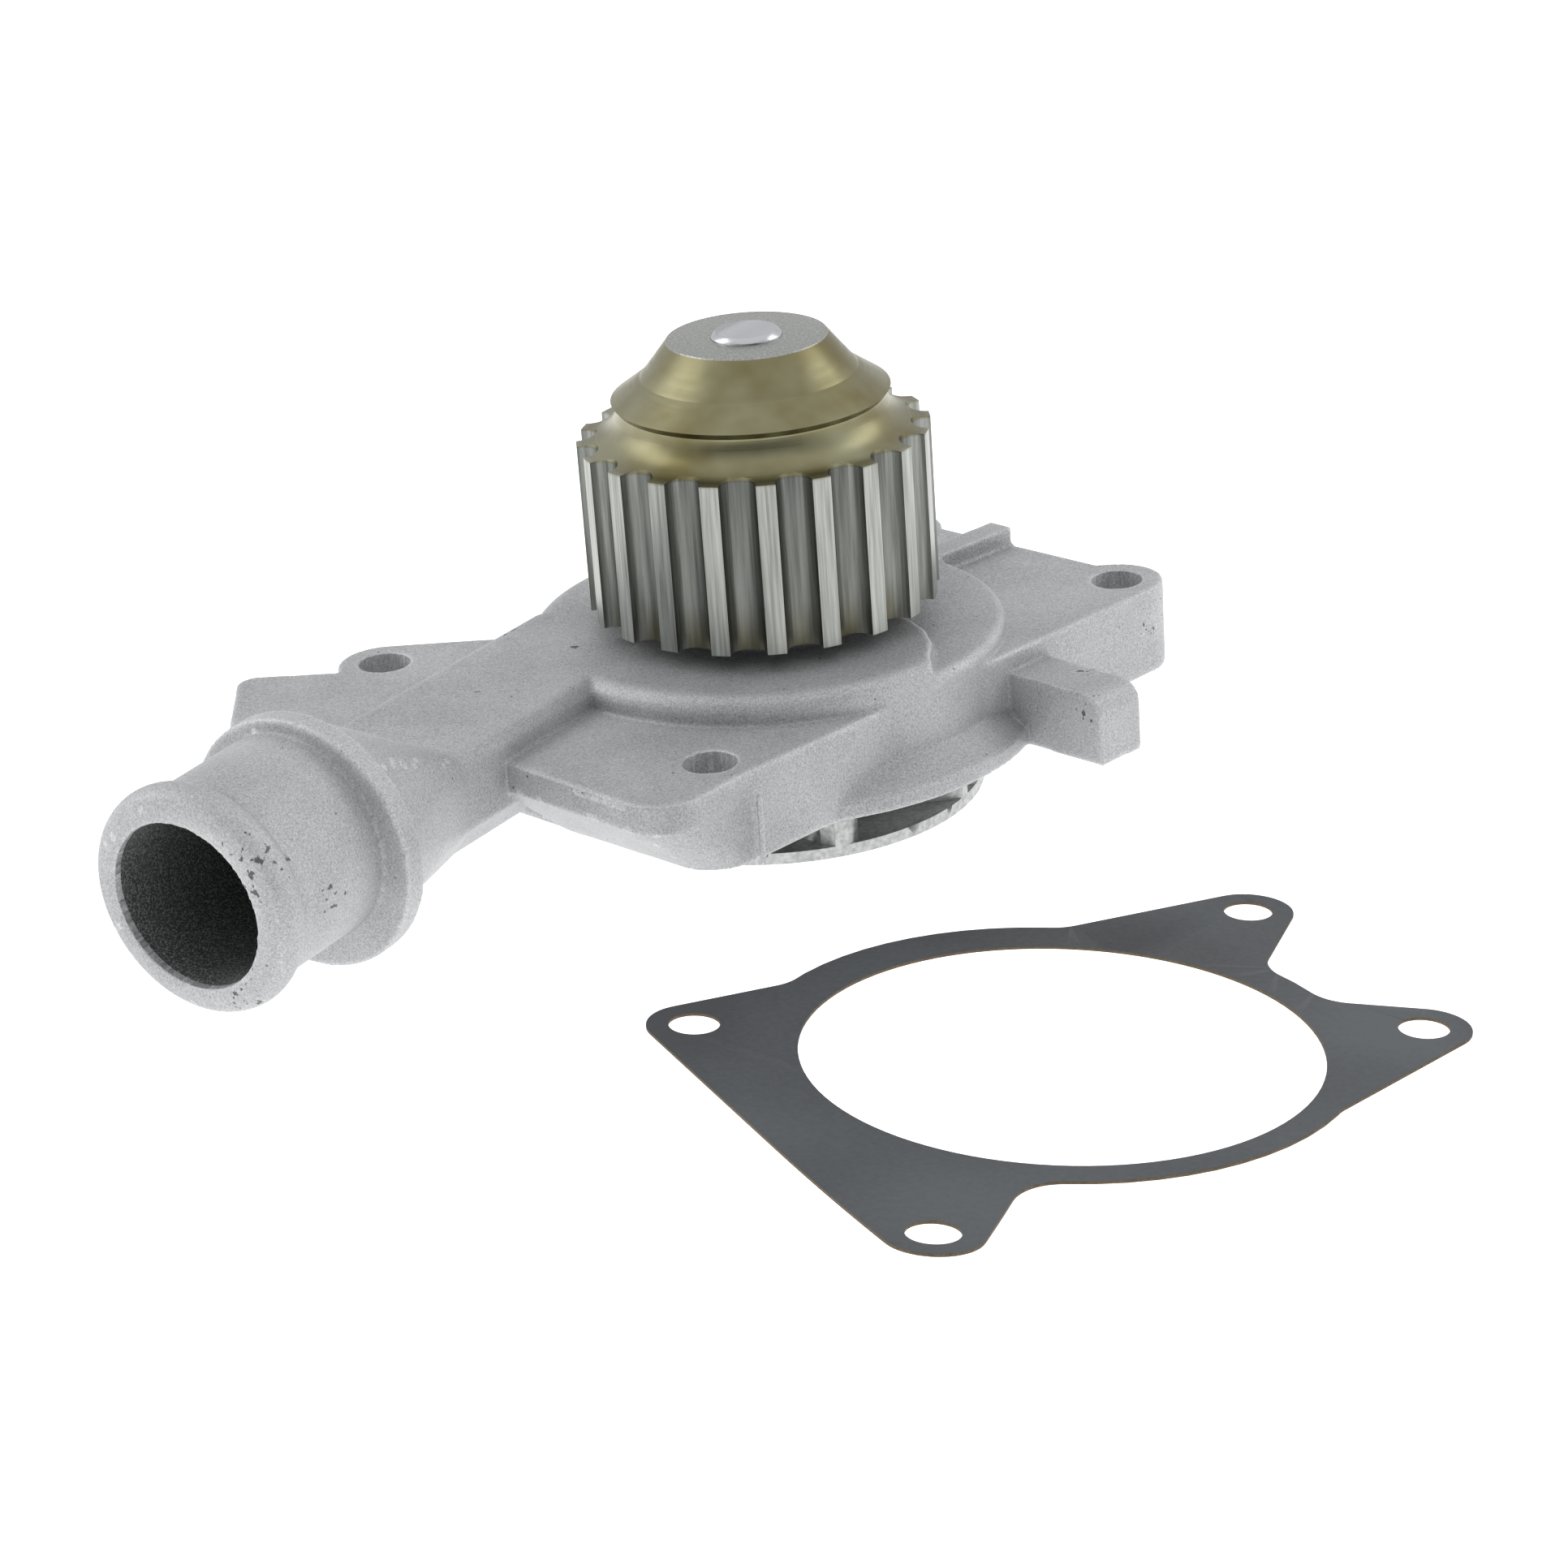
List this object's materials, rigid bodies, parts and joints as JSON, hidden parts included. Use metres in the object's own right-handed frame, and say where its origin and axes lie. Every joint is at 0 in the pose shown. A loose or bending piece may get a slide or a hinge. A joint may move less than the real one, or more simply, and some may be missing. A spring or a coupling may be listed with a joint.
{
  "type": "water pump",
  "caption": "Belt-driven engine coolant pump: die-cast housing with bolt ears and hose spigot, toothed pulley, sealed bearing, face seal, closed impeller and loose flange gasket.",
  "frame": {"origin": "where the shaft axis meets the housing's mounting face", "axes": "+Z along the shaft towards the pulley's nose; -Y towards the front ear; +X towards the right ear"},
  "size_m": [0.206, 0.2343, 0.088],
  "materials": {
    "cast_housing": "shot-blasted die casting, fine matt grain",
    "pulley_metal": "sintered and turned steel, satin, faint yellow passivation",
    "shaft_steel": "ground bearing steel, bright",
    "race_steel": "ground bearing steel",
    "ball_steel": "lapped bearing balls",
    "cage_nylon": "moulded glass-filled nylon",
    "seal_rubber": "moulded nitrile rubber",
    "pressed_steel": "cold-drawn stainless sheet",
    "spring_steel": "drawn stainless spring wire",
    "carbon": "lapped graphite carbon",
    "alumina": "lapped alumina ceramic",
    "impeller_metal": "cast, turned on the outside",
    "gasket_fibre": "punched fibre gasket sheet, charcoal, light mottling"
  },
  "bodies": {
    "housing": {"pump_housing": "cast_housing", "bearing_outer_race": "race_steel", "front_bearing_seal": "seal_rubber", "rear_bearing_seal": "seal_rubber", "seal_cup": "pressed_steel", "seal_spring": "spring_steel", "seal_bellows": "seal_rubber", "seal_retainer": "pressed_steel", "carbon_seal_ring": "carbon"},
    "rotor": {"pump_shaft": "shaft_steel", "drive_pulley": "pulley_metal", "impeller": "impeller_metal", "ceramic_mating_ring": "alumina", "mating_ring_boot": "seal_rubber", "water_slinger": "pressed_steel"},
    "ball_set": {"front_ball_row": "ball_steel", "rear_ball_row": "ball_steel", "front_ball_cage": "cage_nylon", "rear_ball_cage": "cage_nylon"},
    "gasket": {"flange_gasket": "gasket_fibre"}
  },
  "joints": [
    {"name": "shaft_spin", "type": "hinge", "parent": "housing", "child": "rotor", "pos_m": [0, 0, 0], "axis": [0, 0, 1], "continuous": true},
    {"name": "cage_spin", "type": "hinge", "parent": "housing", "child": "ball_set", "pos_m": [0, 0, 0], "axis": [0, 0, 1], "continuous": true},
    {"name": "gasket_lift", "type": "slide", "parent": "housing", "child": "gasket", "axis": [0.0739, 0.0412, 0.9964], "range_m": [0, 0.03]}
  ],
  "couplings": [
    {"joint": "cage_spin", "follows": "shaft_spin", "ratio": 0.383}
  ]
}
